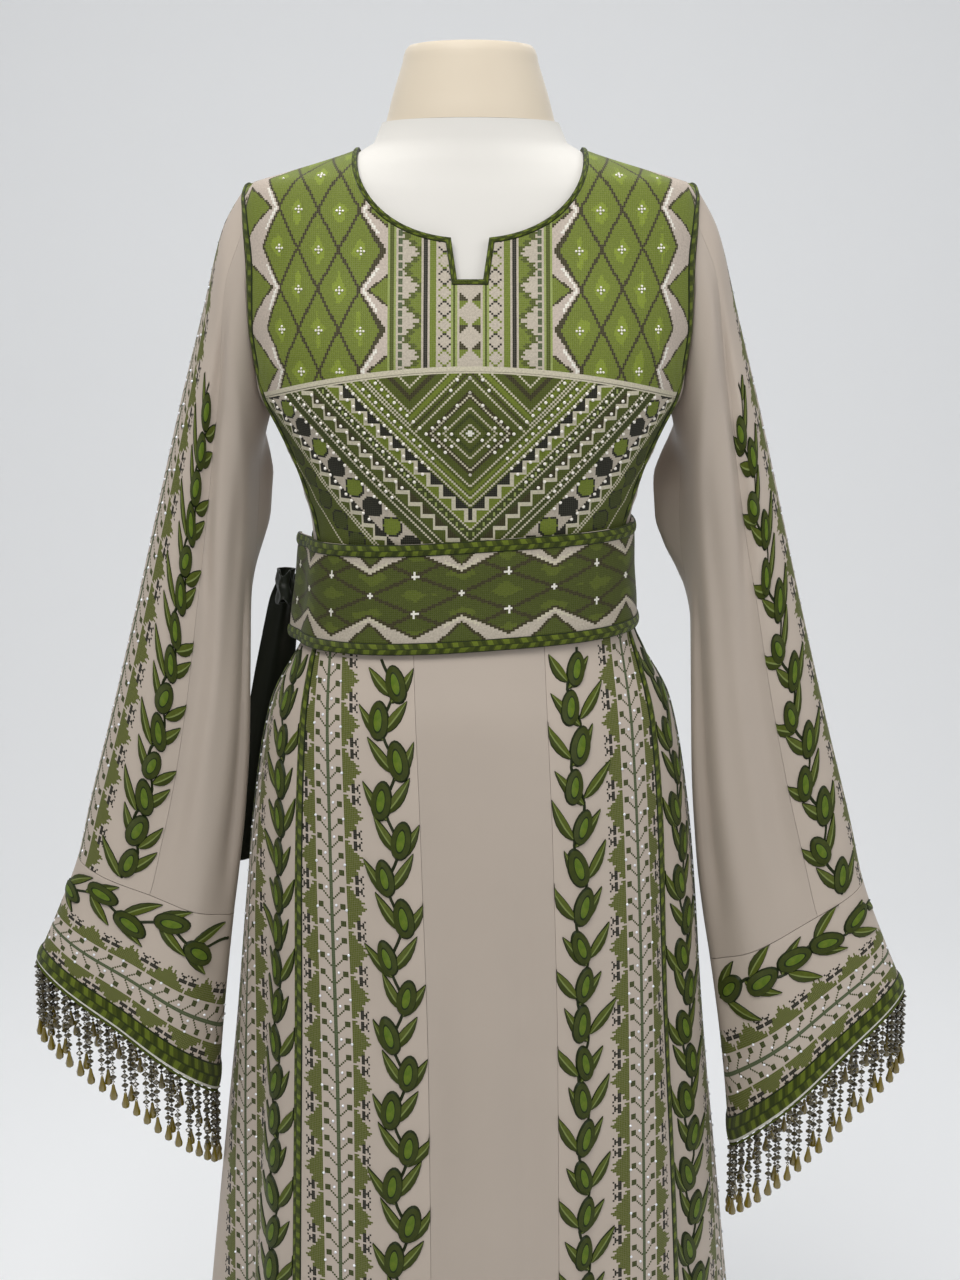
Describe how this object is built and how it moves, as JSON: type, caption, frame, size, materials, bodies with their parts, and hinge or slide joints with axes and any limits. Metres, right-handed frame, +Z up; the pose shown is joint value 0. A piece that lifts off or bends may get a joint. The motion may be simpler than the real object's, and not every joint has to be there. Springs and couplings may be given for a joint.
{
  "type": "thobe robe on dress form",
  "caption": "Long robe with embroidered yoke, gores, bell sleeves, beaded cuff fringe and tied sash, standing on a limbless dress form with a post and round base.",
  "frame": {"origin": "centre of the underside of the stand's round base", "axes": "+Z up along the post, -Y the robe's front, +X to the viewer's right"},
  "size_m": [0.7795, 0.4947, 1.515],
  "materials": {
    "plain_cloth": "softly shining crepe satin, greige",
    "embroidered_cloth": "greige cloth with green cross stitch and satin stitch",
    "dense_stitch": "dense green cross stitch with small beads",
    "satin_stitch": "green satin stitch",
    "tie_satin": "dark grey green satin",
    "bead": "smoky olive faceted beads",
    "form_canvas": "off-white canvas",
    "form_cap": "cream beige satin",
    "stand_metal": "satin off-white paint"
  },
  "bodies": {
    "root": {"belt": "dense_stitch", "belt_tie_bow": "tie_satin", "belt_tie_tail": "tie_satin", "belt_trim_bottom": "satin_stitch", "belt_trim_top": "satin_stitch", "bodice_back": "plain_cloth", "bodice_chest": "dense_stitch", "bodice_piping_left": "satin_stitch", "bodice_piping_right": "satin_stitch", "bodice_side_left": "plain_cloth", "bodice_side_right": "plain_cloth", "bodice_yoke": "dense_stitch", "cuff_back_left": "embroidered_cloth", "cuff_back_right": "embroidered_cloth", "cuff_braid_left": "satin_stitch", "cuff_braid_right": "satin_stitch", "cuff_fringe_left": "bead", "cuff_fringe_right": "bead", "cuff_front_left": "embroidered_cloth", "cuff_front_right": "embroidered_cloth", "form_neck_cap": "form_cap", "form_torso": "form_canvas", "neck_binding": "satin_stitch", "skirt_back_centre": "plain_cloth", "skirt_back_left": "embroidered_cloth", "skirt_back_right": "embroidered_cloth", "skirt_front_centre": "plain_cloth", "skirt_front_left": "embroidered_cloth", "skirt_front_right": "embroidered_cloth", "skirt_piping_back_left": "satin_stitch", "skirt_piping_back_right": "satin_stitch", "skirt_piping_front_left": "satin_stitch", "skirt_piping_front_right": "satin_stitch", "skirt_piping_side_left": "satin_stitch", "skirt_piping_side_right": "satin_stitch", "skirt_side_back_left": "embroidered_cloth", "skirt_side_back_right": "embroidered_cloth", "skirt_side_front_left": "embroidered_cloth", "skirt_side_front_right": "embroidered_cloth", "sleeve_back_left": "plain_cloth", "sleeve_back_right": "plain_cloth", "sleeve_band_left": "embroidered_cloth", "sleeve_band_right": "embroidered_cloth", "sleeve_front_left": "plain_cloth", "sleeve_front_right": "plain_cloth", "stand_base": "stand_metal", "stand_post": "stand_metal"}
  },
  "joints": []
}
